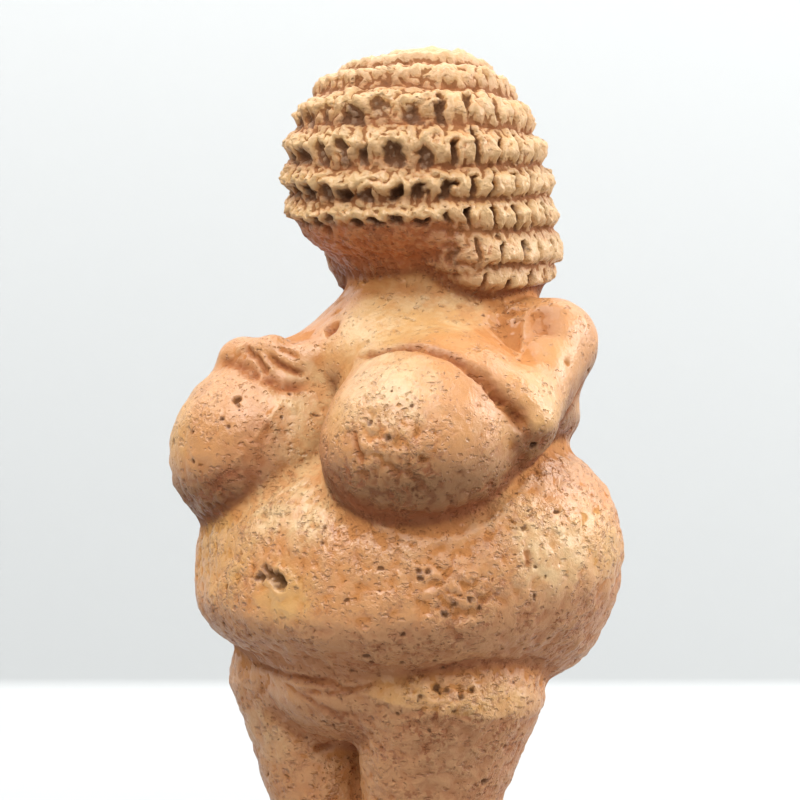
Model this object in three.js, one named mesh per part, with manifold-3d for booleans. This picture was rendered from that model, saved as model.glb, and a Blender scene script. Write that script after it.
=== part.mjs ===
// A standing venus figurine, cast in one piece with its low oval base.
// Millimetres, +Z up. The figure faces -Y, and its left side is at +X.
// The origin is the centre of the base's flat underside.
import * as THREE from "three";
import { mergeVertices } from "three/addons/utils/BufferGeometryUtils.js";
import Module from "manifold-3d";

// The figure, from its soles to its crown. Its pose and its masses are hundredths of this height.
const FIGURE_HEIGHT = 110;
const UNIT = FIGURE_HEIGHT / 100;

// The oval base.
const BASE_WIDTH = 42;
const BASE_DEPTH = 36;
const BASE_HEIGHT = 6;
const BASE_EDGE_RADIUS = 1.6;
const BASE_SIDES = 48;
const BASE_EDGE_STEPS = 4;
const FEET_SINK = 0.8;

// The mesh of the body: the size of a cell of its lattice, and the room round the masses.
const CELL = 2.4;
const LATTICE_MARGIN = 2 * CELL;

const CASTING = { color: 0xc98f63, roughness: 0.55, metalness: 0 };

// The masses of the trunk: a centre and three radii. A mass with both: true is on both sides, and one
// with tilted: true rises to the figure's left with its shoulders.
const TRUNK = [
  { at: [0, 5, 62.6], radii: [16, 10.4, 11.2], blend: 4, tilted: true },
  { at: [0, -1.2, 65.2], radii: [14.4, 10, 7], blend: 5, tilted: true },
  { at: [0, 3.8, 59.6], radii: [20.2, 13, 7], blend: 3 },
  { at: [0, -0.6, 43.2], radii: [24.4, 20.2, 14], blend: 3 },
  { at: [0, -4.2, 38.6], radii: [21.8, 17.2, 8.2], blend: 3 },
  { at: [17, 3.2, 45.4], radii: [8.4, 11, 10.6], blend: 4, both: true },
  { at: [10.2, 6.8, 39.8], radii: [11.8, 11, 11.1], blend: 3, both: true },
  { at: [0, -6.4, 30], radii: [12, 10, 7], blend: 3 },
];
const NECK = { from: [0, 6.4, 60], to: [1, 6, 76], radii: [13, 9.8], blend: 4 };
const THIGH = { from: [9.4, -2.4, 29], to: [6.2, -3.4, 11.5], radii: [9.9, 5.9], deepen: 1.18, blend: 1.6 };
const CALF = { from: [6.2, -1.4, 11], to: [5.6, -0.2, 2.6], radii: [5.2, 3.9], deepen: 1.1, blend: 2 };
const FOOT = { at: [5.8, -3.8, 2], radii: [4.1, 7.2, 2.6], blend: 1.6 };
const BREAST = [
  { at: [11.6, -9.6, 56.1], radii: [10.9, 11, 10.1], blend: 2 },
  { at: [9.8, -4.6, 60.8], radii: [9.6, 8, 7.2], blend: 6 },
];
const BREAST_BLEND = 1.8;
const BREAST_TILT = 0.08;

// The arms, by their joints. A forearm and its hand lie on the breast: a line of joints from the elbow to the
// finger tips, each with its radius. The left one lies flat, and the right hand stands out more.
// The line of the shoulders rises to the figure's left by SHOULDER_TILT, and the breasts by BREAST_TILT.
const SHOULDER = [15.6, 6.8, 64.9];
const ELBOW = [20.8, -3.4, 57];
const UPPER_ARM_RADII = [5.8, 2.6];
const LEFT_FOREARM = [
  { at: ELBOW, radius: 2.2 },
  { at: [20.4, -4.8, 60], radius: 1.8 },
  { at: [17.8, -7.1, 63], radius: 1.6 },
  { at: [13.4, -9.4, 64.8], radius: 1.3 },
  { at: [7, -10.4, 64.4], radius: 0.9 },
];
const RIGHT_FOREARM = [
  { at: ELBOW, radius: 3 },
  { at: [20.2, -6, 61.8], radius: 2.4 },
  { at: [17.2, -8.8, 65], radius: 2.1 },
  { at: [14.2, -11.2, 66.9], radius: 2.2 },
  { at: [8.6, -11.7, 67], radius: 1.9 },
  { at: [4.4, -11, 66], radius: 1.5 },
];
const SHOULDER_TILT = 0.11;
const SHOULDER_BLEND = 3;
const LEFT_FOREARM_BLEND = 5;
const RIGHT_FOREARM_BLEND = 2.4;

// The head and its hair: one strand of curls, wound from the crown down to the nape. HEAD_SLANT is how far the
// head's top leans off to X and Y, for each unit of height.
const HEAD_CENTRE = [0, 3, 83.6];
const HEAD_RADII = [14.1, 14.1, 15.5];
const SKULL_SQUARENESS = 2.3;
const SKULL_LEAN = 15;
const STRAND_LEAN = 4;
const HEAD_TURN = -13;
const HEAD_SLANT = [-0.022, -0.026];
const STRAND_TURNS = 9.4;
const STRAND_PITCH = 13.6;
const CURL_WIDTH = 2.75;
const CURL_RISE = 1.15;
const BRIM_FRONT = 97;
const BRIM_BACK = 126;
const NAPE_FILL = 0.1;
const FACE_HALF_WIDTH = 64;
const FACE_CUT = 0.2;
// The crown lies off the head's middle: it leans by CROWN_LEAN about the level axis at CROWN_SIDE, and the
// strand is level again from CROWN_END down. All in degrees.
const CROWN_LEAN = 12;
const CROWN_SIDE = -125;
const CROWN_START = 40;
const CROWN_END = 84;

const smoothMin = (a, b, k) => {
  const h = Math.max(k - Math.abs(a - b), 0) / k;
  return Math.min(a, b) - (h * h * k) / 4;
};
const smoothStep = (from, to, x) => {
  const t = THREE.MathUtils.clamp((x - from) / (to - from), 0, 1);
  return t * t * (3 - 2 * t);
};
const mix = (a, b, t) => a + (b - a) * t;

// Distance from a point to an ellipsoid, negative inside.
function ellipsoid([x, y, z], { at, radii }) {
  const [px, py, pz] = [x - at[0], y - at[1], z - at[2]];
  const near = Math.hypot(px / radii[0], py / radii[1], pz / radii[2]);
  const slope = Math.hypot(px / radii[0] ** 2, py / radii[1] ** 2, pz / radii[2] ** 2);
  return slope < 1e-9 ? -Math.min(...radii) : (near * (near - 1)) / slope;
}

// Distance from a point to a limb that tapers from one joint to the next, negative inside.
// deepen stretches its section from front to back.
function limb([x, y, z], { from, to, radii, deepen = 1 }) {
  const along = [to[0] - from[0], to[1] - from[1], to[2] - from[2]];
  const off = [x - from[0], y - from[1], z - from[2]];
  const length2 = along[0] ** 2 + along[1] ** 2 + along[2] ** 2;
  const t = THREE.MathUtils.clamp(
    (off[0] * along[0] + off[1] * along[1] + off[2] * along[2]) / length2, 0, 1);
  const [dx, dy, dz] = off.map((v, i) => v - along[i] * t);
  return Math.hypot(dx, dy / deepen, dz) - mix(radii[0], radii[1], t);
}

const UPPER_ARM = { from: SHOULDER, to: ELBOW, radii: UPPER_ARM_RADII };
const partsOf = (line) => line.slice(1).map(({ at, radius }, i) => (
  { from: line[i].at, to: at, radii: [line[i].radius, radius] }));
const FOREARMS = [
  { side: 1, parts: partsOf(LEFT_FOREARM), blend: LEFT_FOREARM_BLEND },
  { side: -1, parts: partsOf(RIGHT_FOREARM), blend: RIGHT_FOREARM_BLEND },
];

// The whole body below the head, as one distance in hundredths of the figure's height.
function bodyField(x, y, z) {
  const mirrored = [Math.abs(x), y, z];
  const lower = z - SHOULDER_TILT * x;
  const tilted = [Math.abs(x), y, lower];
  const bust = [Math.abs(x), y, z - BREAST_TILT * x];
  let trunk = Infinity;
  for (const mass of TRUNK) {
    const d = ellipsoid([mass.both ? Math.abs(x) : x, y, mass.tilted ? lower : z], mass);
    trunk = trunk === Infinity ? d : smoothMin(trunk, d, mass.blend);
  }
  trunk = smoothMin(trunk, limb([x, y, z], NECK), NECK.blend);
  trunk = smoothMin(trunk, limb(tilted, UPPER_ARM), SHOULDER_BLEND);
  for (const { side, parts, blend } of FOREARMS) {
    const forearm = parts.reduce((d, part) => smoothMin(d, limb([x * side, y, lower], part), 1), 99);
    trunk = smoothMin(trunk, forearm, blend);
  }
  let leg = limb(mirrored, THIGH);
  leg = smoothMin(leg, limb(mirrored, CALF), CALF.blend);
  leg = smoothMin(leg, ellipsoid(mirrored, FOOT), FOOT.blend);
  trunk = smoothMin(trunk, leg, THIGH.blend);
  const breast = smoothMin(ellipsoid(bust, BREAST[0]), ellipsoid(bust, BREAST[1]), BREAST[1].blend);
  return smoothMin(trunk, breast, BREAST_BLEND);
}

const gradient = (field, [x, y, z], step) => [
  field(x + step, y, z) - field(x - step, y, z),
  field(x, y + step, z) - field(x, y - step, z),
  field(x, y, z + step) - field(x, y, z - step),
].map((d) => d / (2 * step));

// One closed surface where the field is zero. Each lattice cell that the surface crosses gets one point,
// moved to where the surface's own planes through its edges meet, so that creases stay crisp.
function surfaceOf(field, low, high, cell) {
  const count = low.map((l, i) => Math.ceil((high[i] - l) / cell) + 1);
  const index = (i, j, k) => (i * count[1] + j) * count[2] + k;
  const value = new Float64Array(count[0] * count[1] * count[2]);
  const place = (i, j, k) => [low[0] + i * cell, low[1] + j * cell, low[2] + k * cell];
  for (let i = 0; i < count[0]; i++)
    for (let j = 0; j < count[1]; j++)
      for (let k = 0; k < count[2]; k++) value[index(i, j, k)] = field(...place(i, j, k));

  const corners = [];
  for (let c = 0; c < 8; c++) corners.push([c & 1, (c >> 1) & 1, (c >> 2) & 1]);
  const edges = [];
  for (let a = 0; a < 8; a++)
    for (const bit of [1, 2, 4]) if (!(a & bit)) edges.push([corners[a], corners[a | bit]]);

  const points = [];
  const pointOf = new Map();
  const meet = (i, j, k) => {
    const crossings = [];
    for (const [a, b] of edges) {
      const va = value[index(i + a[0], j + a[1], k + a[2])];
      const vb = value[index(i + b[0], j + b[1], k + b[2])];
      if (va < 0 === vb < 0) continue;
      const [pa, pb] = [place(i + a[0], j + a[1], k + a[2]), place(i + b[0], j + b[1], k + b[2])];
      const at = pa.map((p, n) => mix(p, pb[n], va / (va - vb)));
      const slope = gradient(field, at, cell / 20);
      const size = Math.hypot(...slope) || 1;
      crossings.push({ at, normal: slope.map((s) => s / size) });
    }
    const middle = [0, 1, 2].map((n) => crossings.reduce((sum, c) => sum + c.at[n], 0) / crossings.length);
    const point = [...middle];
    for (let round = 0; round < 5; round++) {
      const push = [0, 0, 0];
      for (const { at, normal } of crossings) {
        const off = normal.reduce((sum, m, n) => sum + m * (at[n] - point[n]), 0);
        for (let n = 0; n < 3; n++) push[n] += (normal[n] * off) / crossings.length;
      }
      for (let n = 0; n < 3; n++) point[n] += push[n];
    }
    const corner = place(i, j, k);
    return point.map((p, n) => THREE.MathUtils.clamp(p, corner[n] + cell * 0.05, corner[n] + cell * 0.95));
  };
  const pointIn = (i, j, k) => {
    const key = index(i, j, k);
    if (!pointOf.has(key)) {
      pointOf.set(key, points.length / 3);
      points.push(...meet(i, j, k));
    }
    return pointOf.get(key);
  };

  const faces = [];
  const across = (a, b, c, d, flip) => {
    const ring = flip ? [d, c, b, a] : [a, b, c, d];
    faces.push(ring[0], ring[1], ring[2], ring[0], ring[2], ring[3]);
  };
  for (let i = 1; i < count[0] - 1; i++)
    for (let j = 1; j < count[1] - 1; j++)
      for (let k = 1; k < count[2] - 1; k++) {
        const inside = value[index(i, j, k)] < 0;
        if (inside !== value[index(i + 1, j, k)] < 0)
          across(pointIn(i, j - 1, k - 1), pointIn(i, j, k - 1), pointIn(i, j, k), pointIn(i, j - 1, k), !inside);
        if (inside !== value[index(i, j + 1, k)] < 0)
          across(pointIn(i - 1, j, k - 1), pointIn(i - 1, j, k), pointIn(i, j, k), pointIn(i, j, k - 1), !inside);
        if (inside !== value[index(i, j, k + 1)] < 0)
          across(pointIn(i - 1, j - 1, k), pointIn(i, j - 1, k), pointIn(i, j, k), pointIn(i - 1, j, k), !inside);
      }
  return geometryOf(points, faces);
}

function geometryOf(points, faces) {
  const geometry = new THREE.BufferGeometry();
  geometry.setAttribute("position", new THREE.Float32BufferAttribute(points, 3));
  geometry.setIndex(faces);
  return geometry;
}

// The box round all the body's masses, with room for their blends.
function bodyBox() {
  const box = new THREE.Box3();
  const hold = (at, radii) => {
    for (const side of [1, -1])
      for (const end of [1, -1])
        box.expandByPoint(new THREE.Vector3(...at.map((v, n) => v * (n ? 1 : side) + radii[n] * end)));
  };
  for (const { at, radii } of [...TRUNK, ...BREAST, FOOT]) hold(at, radii);
  const limbs = [NECK, THIGH, CALF, UPPER_ARM, ...FOREARMS.flatMap((arm) => arm.parts)];
  for (const { from, to, radii, deepen = 1 } of limbs)
    for (const [at, radius] of [[from, radii[0]], [to, radii[1]]]) hold(at, [radius, radius * deepen, radius]);
  return box.expandByScalar(LATTICE_MARGIN / UNIT);
}

// The body, from its soles to its neck.
function bodyGeometry() {
  const { min, max } = bodyBox();
  return surfaceOf(bodyField, min.toArray(), max.toArray(), CELL / UNIT).scale(UNIT, UNIT, UNIT);
}

// A point of the head's surface, from the angle down from the strand's axis and the angle round from the front,
// both in degrees. lift is the height of the hair there.
function headPoint(down, round, lift) {
  const [d, r, side] = [down, round, CROWN_SIDE].map(THREE.MathUtils.degToRad);
  const way = new THREE.Vector3(Math.sin(d) * Math.sin(r), -Math.sin(d) * Math.cos(r), Math.cos(d));
  const lean = CROWN_LEAN * (1 - smoothStep(CROWN_START, CROWN_END, down));
  way.applyAxisAngle(new THREE.Vector3(Math.cos(side), Math.sin(side), 0), THREE.MathUtils.degToRad(lean));
  const inSkull = way.clone()
    .applyAxisAngle(new THREE.Vector3(1, 0, 0), THREE.MathUtils.degToRad(STRAND_LEAN - SKULL_LEAN));
  const level = Math.hypot(inSkull.x / HEAD_RADII[0], inSkull.y / HEAD_RADII[1]) ** SKULL_SQUARENESS;
  const skull = (level + Math.abs(inSkull.z / HEAD_RADII[2]) ** SKULL_SQUARENESS) ** (-1 / SKULL_SQUARENESS);
  const front = 1 - smoothStep(FACE_HALF_WIDTH - 16, FACE_HALF_WIDTH + 16, Math.abs(round));
  const below = smoothStep(BRIM_FRONT, BRIM_FRONT + 30, down);
  return way.multiplyScalar(skull * (1 - FACE_CUT * front * below + NAPE_FILL * (1 - front) * below) + lift);
}

// The lowest edge of the hair, as an angle from the crown: high over the brow, low at the nape.
const brimAt = (round) =>
  mix(BRIM_FRONT, BRIM_BACK, smoothStep(FACE_HALF_WIDTH - 10, FACE_HALF_WIDTH + 10, Math.abs(round)));

// The head, wound as one strand that goes down by one pitch each turn. Across the strand lie three lines:
// the groove above it, its crown and its lower edge, which is notched between one curl and the next.
function headGeometry() {
  const mean = (HEAD_RADII[0] + HEAD_RADII[1] + HEAD_RADII[2]) / 3;
  const pitch = THREE.MathUtils.degToRad(STRAND_PITCH);
  const curlsAt = (down) => ((mean * 2 * Math.PI) / pitch / CURL_WIDTH) * (1 - Math.cos(down));
  const end = STRAND_TURNS * pitch;
  const steps = Math.round(curlsAt(end) * 2);
  const turn = [];
  for (let i = 0; i <= steps; i++) {
    const down = Math.acos(1 - (i / steps) * (1 - Math.cos(end)));
    turn.push((down / pitch) * 2 * Math.PI);
  }
  const LINES = [
    { across: 0, rise: () => 0 },
    { across: 0.34, rise: (i) => (i % 2 ? 0.7 : 1) },
    { across: 0.76, rise: (i) => (i % 2 ? -0.1 : 0.95) },
  ];
  const points = [];
  const push = (t, line, i) => {
    const down = THREE.MathUtils.radToDeg(pitch * (t / (2 * Math.PI) + LINES[line].across));
    const round = THREE.MathUtils.euclideanModulo(THREE.MathUtils.radToDeg(t) + 180 + 180, 360) - 180;
    const haired = 1 - smoothStep(brimAt(round) - 3, brimAt(round) + 3, down);
    points.push(...headPoint(down, round, CURL_RISE * haired * LINES[line].rise(i)));
    return points.length / 3 - 1;
  };
  const [groove, crown, edge] = LINES.map((_, line) => turn.map((t, i) => push(t, line, i)));
  const faces = [];
  for (let i = 0; i < steps; i++) {
    faces.push(groove[i], crown[i], crown[i + 1], groove[i], crown[i + 1], groove[i + 1]);
    faces.push(crown[i], edge[i], edge[i + 1], crown[i], edge[i + 1], crown[i + 1]);
  }
  // The seam from each turn's lower edge to the groove of the next turn below it.
  const first = turn.findIndex((t) => t >= 2 * Math.PI);
  let [a, b] = [0, first];
  const last = steps;
  faces.push(groove[0], groove[b], crown[0], crown[0], groove[b], edge[0]);
  while (b < last || turn[a + 1] <= turn[last] - 2 * Math.PI) {
    const upper = turn[a + 1] + 2 * Math.PI;
    if (b >= last || upper < turn[b + 1]) {
      faces.push(edge[a], groove[b], edge[a + 1]);
      a++;
    } else {
      faces.push(edge[a], groove[b], groove[b + 1]);
      b++;
    }
  }
  // The crown's first turn closes on its middle, and the last turn on a point inside the neck.
  for (let i = 1; i < first; i++) faces.push(groove[0], groove[i], groove[i + 1]);
  points.push(0, 0, -HEAD_RADII[2] * 0.9);
  const bottom = points.length / 3 - 1;
  for (let i = a; i < last; i++) faces.push(edge[i], bottom, edge[i + 1]);
  faces.push(edge[last], bottom, crown[last], crown[last], bottom, groove[last], groove[last], bottom, edge[a]);
  return geometryOf(points, faces)
    .rotateX(THREE.MathUtils.degToRad(STRAND_LEAN))
    .rotateZ(THREE.MathUtils.degToRad(HEAD_TURN))
    .applyMatrix4(new THREE.Matrix4().makeShear(0, 0, 0, 0, HEAD_SLANT[0], HEAD_SLANT[1]))
    .translate(...HEAD_CENTRE)
    .scale(UNIT, UNIT, UNIT);
}

// The base, turned as a round of its half width and then drawn in to an oval.
function baseGeometry() {
  const half = BASE_WIDTH / 2;
  const profile = [new THREE.Vector2(0, 0), new THREE.Vector2(half, 0)];
  for (let i = 0; i <= BASE_EDGE_STEPS; i++) {
    const angle = ((Math.PI / 2) * i) / BASE_EDGE_STEPS;
    profile.push(new THREE.Vector2(
      half - BASE_EDGE_RADIUS * (1 - Math.cos(angle)),
      BASE_HEIGHT - BASE_EDGE_RADIUS * (1 - Math.sin(angle))));
  }
  profile.push(new THREE.Vector2(0, BASE_HEIGHT));
  return new THREE.LatheGeometry(profile, BASE_SIDES)
    .rotateX(Math.PI / 2)
    .scale(1, BASE_DEPTH / BASE_WIDTH, 1);
}

const wasm = await Module();
wasm.setup();

function solidOf(geometry) {
  const plain = geometry.clone();
  for (const name of Object.keys(plain.attributes)) if (name !== "position") plain.deleteAttribute(name);
  const merged = mergeVertices(plain, 1e-4);
  return new wasm.Manifold(new wasm.Mesh({
    numProp: 3,
    vertProperties: merged.attributes.position.array,
    triVerts: new Uint32Array(merged.index.array),
  }));
}

function geometryOfSolid(solid) {
  const mesh = solid.getMesh();
  const geometry = geometryOf(Array.from(mesh.vertProperties), Array.from(mesh.triVerts));
  geometry.computeVertexNormals();
  return geometry;
}

const lift = BASE_HEIGHT - FEET_SINK;
const figure = solidOf(bodyGeometry()).add(solidOf(headGeometry())).translate(0, 0, lift);
const casting = figure.add(solidOf(baseGeometry()));

const mesh = new THREE.Mesh(geometryOfSolid(casting), new THREE.MeshStandardMaterial(CASTING));
mesh.name = "figurine";
const group = new THREE.Group();
group.name = "venus_figurine";
group.add(mesh);

export default group;
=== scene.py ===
"""A standing venus figurine, cast in one with its low oval base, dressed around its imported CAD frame."""

import math

import bpy
import numpy as np
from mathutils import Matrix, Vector


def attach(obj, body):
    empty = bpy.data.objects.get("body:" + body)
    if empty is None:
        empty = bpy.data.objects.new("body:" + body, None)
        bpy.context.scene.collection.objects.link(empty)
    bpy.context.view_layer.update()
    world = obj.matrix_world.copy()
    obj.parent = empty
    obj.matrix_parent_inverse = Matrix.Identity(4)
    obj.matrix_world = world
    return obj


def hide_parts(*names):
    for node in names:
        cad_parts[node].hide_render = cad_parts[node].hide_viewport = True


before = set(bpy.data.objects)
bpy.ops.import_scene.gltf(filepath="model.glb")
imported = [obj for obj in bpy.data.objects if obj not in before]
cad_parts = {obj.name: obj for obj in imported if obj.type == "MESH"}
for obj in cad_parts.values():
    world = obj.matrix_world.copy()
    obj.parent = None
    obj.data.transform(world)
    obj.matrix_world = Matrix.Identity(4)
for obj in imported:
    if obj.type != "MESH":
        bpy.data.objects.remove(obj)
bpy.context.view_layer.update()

bl_info = {
    "name": "Venus figurine",
    "version": (1, 0, 0),
    "blender": (4, 5, 0),
    "location": "3D View > Sidebar > Figurine",
    "description": "Makes the finished surface, the casting's material and the studio of a venus figurine",
    "category": "Object",
}

MM = 0.001
NODE = "figurine"
PIECE = "figurine_casting"

# The body's masses, in hundredths of the figure's height from its soles: centre, radii, blend and kind.
# "both" is on both sides, and "tilted" rises to the figure's left with its shoulders.
TRUNK = (
    ((0, 5, 62.6), (16, 10.4, 11.2), 4, "tilted"),
    ((0, -1.2, 65.2), (14.4, 10, 7), 5, "tilted"),
    ((0, 3.8, 59.6), (20.2, 13, 7), 3, "level"),
    ((0, -0.6, 43.2), (24.4, 20.2, 14), 3, "level"),
    ((0, -4.2, 38.6), (21.8, 17.2, 8.2), 3, "level"),
    ((17, 3.2, 45.4), (8.4, 11, 10.6), 4, "both"),
    ((10.2, 6.8, 39.8), (11.8, 11, 11.1), 3, "both"),
    ((0, -6.4, 30), (12, 10, 7), 3, "level"),
)
# Limbs: first joint, last joint, their radii, how much deeper than wide, and blend.
NECK = ((0, 6.4, 60), (1, 6, 76), 13, 9.8, 1, 4)
THIGH = ((9.4, -2.4, 29), (6.2, -3.4, 11.5), 9.9, 5.9, 1.18, 1.6)
CALF = ((6.2, -1.4, 11), (5.6, -0.2, 2.6), 5.2, 3.9, 1.1, 2)
FOOT = ((5.8, -3.8, 2), (4.1, 7.2, 2.6), 1.6)
BREAST_LOW = ((11.6, -9.6, 56.1), (10.9, 11, 10.1))
BREAST_TOP = ((9.8, -4.6, 60.8), (9.6, 8, 7.2))
BREAST_TOP_BLEND = 6
BREAST_BLEND = 1.6
BREAST_TILT = 0.08
SHOULDER = (15.6, 6.8, 64.9)
ELBOW = (20.8, -3.4, 57)
UPPER_ARM = (SHOULDER, ELBOW, 5.8, 2.6, 1, 3)
# The forearms: side, blend, and a line of joints with their radii from the elbow to the finger tips.
FOREARMS = (
    (1, 5, ((ELBOW, 2.2), ((20.4, -4.8, 60), 1.8), ((17.8, -7.1, 63), 1.6), ((13.4, -9.4, 64.8), 1.3),
            ((7, -10.4, 64.4), 0.9))),
    (-1, 2.4, ((ELBOW, 3), ((20.2, -6, 61.8), 2.4), ((17.2, -8.8, 65), 2.1), ((14.2, -11.2, 66.9), 2.2),
               ((8.6, -11.7, 67), 1.9), ((4.4, -11, 66), 1.5))),
)
SHOULDER_TILT = 0.11

# The head, and the strand of curls that is wound round it from the crown to the nape. Angles in degrees.
HEAD_CENTRE = (0, 3, 83.6)
HEAD_RADII = (14.1, 14.1, 15.5)
HEAD_MEAN = sum(HEAD_RADII) / 3
SKULL_SQUARENESS = 2.3
SKULL_LEAN = 15
STRAND_LEAN = 4
HEAD_TURN = -13
HEAD_SLANT = (-0.022, -0.026)
STRAND_PITCH = 13.6
CURL_WIDTH = 2.75
BRIM_FRONT = 97
BRIM_BACK = 126
NAPE_FILL = 0.1
FACE_HALF_WIDTH = 64
FACE_CUT = 0.2
CROWN_LEAN = 12
CROWN_SIDE = -125
CROWN_START = 40
CROWN_END = 84
HEAD_BLEND = 1.2
FACE_EDGE = 16
FACE_CUT_RISE = 30
# The distance to the skull is eased by this share, because its radius changes from place to place.
SKULL_EASE = 0.92

BASE_HALF = (21.0, 18.0)
BASE_HEIGHT = 6.0
BASE_EDGE_RADIUS = 1.6
FEET_SINK = 0.8
BASE_BLEND = 0.8

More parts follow.
